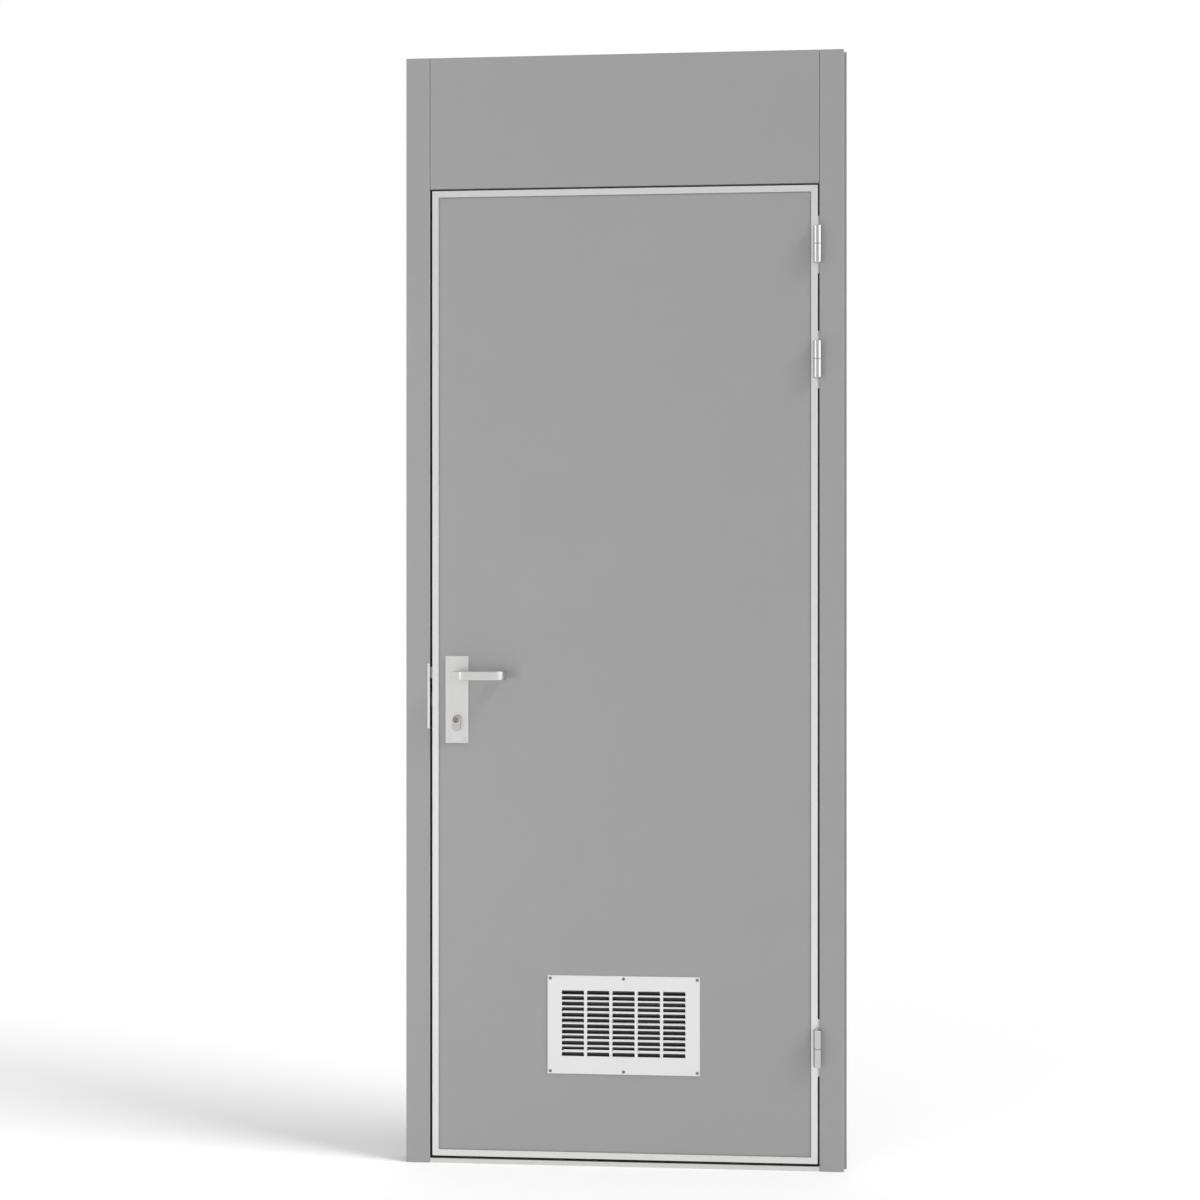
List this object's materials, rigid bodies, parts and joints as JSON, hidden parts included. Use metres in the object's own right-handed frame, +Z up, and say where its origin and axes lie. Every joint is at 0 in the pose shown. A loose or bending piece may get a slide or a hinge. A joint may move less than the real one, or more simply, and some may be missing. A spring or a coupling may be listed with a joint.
{
  "type": "marine fire door",
  "caption": "Insulated steel fire door in a panel-height wall unit, with hinges, a lever lock, a ventilation grille and a flush metal threshold.",
  "frame": {"origin": "underside of the sill, in the middle between the posts' faces and halfway through the wall's thickness", "axes": "+Z up, -Y towards the side that the door opens to, +X towards the hinges"},
  "size_m": [0.913, 0.144, 2.3],
  "materials": {
    "grey_paint": "smooth mid-grey stoved enamel on steel",
    "grille_paint": "pale grey enamel, semi-matt",
    "stainless": "fine vertical brushing",
    "zinc_steel": "bright zinc plating",
    "brass": "turned brass, dulled",
    "seal_rubber": "matt black",
    "mineral_wool": "stiff mineral wool slab",
    "filler_board": "plain pressed board",
    "swelling_strip": "graphite strip, matt dark grey"
  },
  "bodies": {
    "frame": {"lock_post": "grey_paint", "lock_post_core": "mineral_wool", "hinge_post": "grey_paint", "hinge_post_core": "mineral_wool", "hinge_post_stiffener": "zinc_steel", "transom_casing": "grey_paint", "transom_core": "mineral_wool", "threshold": "stainless", "threshold_core": "filler_board", "lock_side_stop": "grey_paint", "hinge_side_stop": "grey_paint", "head_stop": "grey_paint", "door_seal": "seal_rubber", "intumescent_strips": "swelling_strip", "strike_plate": "stainless", "strike_screws": "zinc_steel", "strike_box": "zinc_steel", "hinge_pins": "zinc_steel", "hinge_washers": "brass", "frame_hinge_plates": "stainless", "frame_hinge_screws": "zinc_steel"},
    "leaf": {"leaf_front_skin": "grey_paint", "leaf_back_skin": "grey_paint", "leaf_core": "mineral_wool", "lock_side_stiffener": "zinc_steel", "hinge_side_stiffener": "zinc_steel", "trim_lock_side": "stainless", "trim_hinge_side": "stainless", "trim_top": "stainless", "trim_bottom": "stainless", "leaf_hinge_plates": "stainless", "leaf_hinge_screws": "zinc_steel", "lock_case": "zinc_steel", "lock_cover": "zinc_steel", "lock_faceplate": "stainless", "faceplate_screws": "zinc_steel", "cylinder_body": "brass", "cylinder_screw": "zinc_steel", "front_backplate": "stainless", "rear_backplate": "stainless", "front_plate_screws": "zinc_steel", "rear_plate_screws": "zinc_steel", "front_grille": "grille_paint", "rear_grille": "grille_paint", "front_grille_screws": "zinc_steel", "rear_grille_screws": "zinc_steel", "vent_sleeve": "zinc_steel", "vent_damper": "swelling_strip", "latch_spring": "zinc_steel"},
    "handles": {"front_lever": "stainless", "rear_lever": "stainless", "spindle": "zinc_steel", "lever_grub_screws": "zinc_steel", "lock_follower": "zinc_steel"},
    "latch": {"latch_bolt": "zinc_steel"},
    "deadbolt": {"deadbolt": "zinc_steel"},
    "key_cylinder": {"key_plug": "brass", "cylinder_cam": "zinc_steel", "thumb_turn": "stainless"}
  },
  "joints": [
    {"name": "leaf_hinge", "type": "hinge", "parent": "frame", "child": "leaf", "pos_m": [0.39825, -0.0335, 1], "axis": [0, 0, 1], "range_deg": [0, 170]},
    {"name": "lever_turn", "type": "hinge", "parent": "leaf", "child": "handles", "pos_m": [-0.346, 0, 1.016], "axis": [0, 1, 0], "range_deg": [0, 40], "stiffness_Nm_per_rad": 2, "springref_deg": -20.05},
    {"name": "latch_slide", "type": "slide", "parent": "leaf", "child": "latch", "axis": [1, 0, 0], "range_m": [0, 0.012], "deforming": ["latch_spring"]},
    {"name": "key_turn", "type": "hinge", "parent": "leaf", "child": "key_cylinder", "pos_m": [-0.346, -0.005, 0.924], "axis": [0, -1, 0], "range_deg": [0, 360]},
    {"name": "deadbolt_slide", "type": "slide", "parent": "leaf", "child": "deadbolt", "axis": [-1, 0, 0], "range_m": [0, 0.02]}
  ],
  "couplings": [
    {"joint": "latch_slide", "follows": "lever_turn", "m_per_rad": 0.01718},
    {"joint": "key_turn", "follows": "deadbolt_slide", "rad_per_m": 314.16}
  ]
}
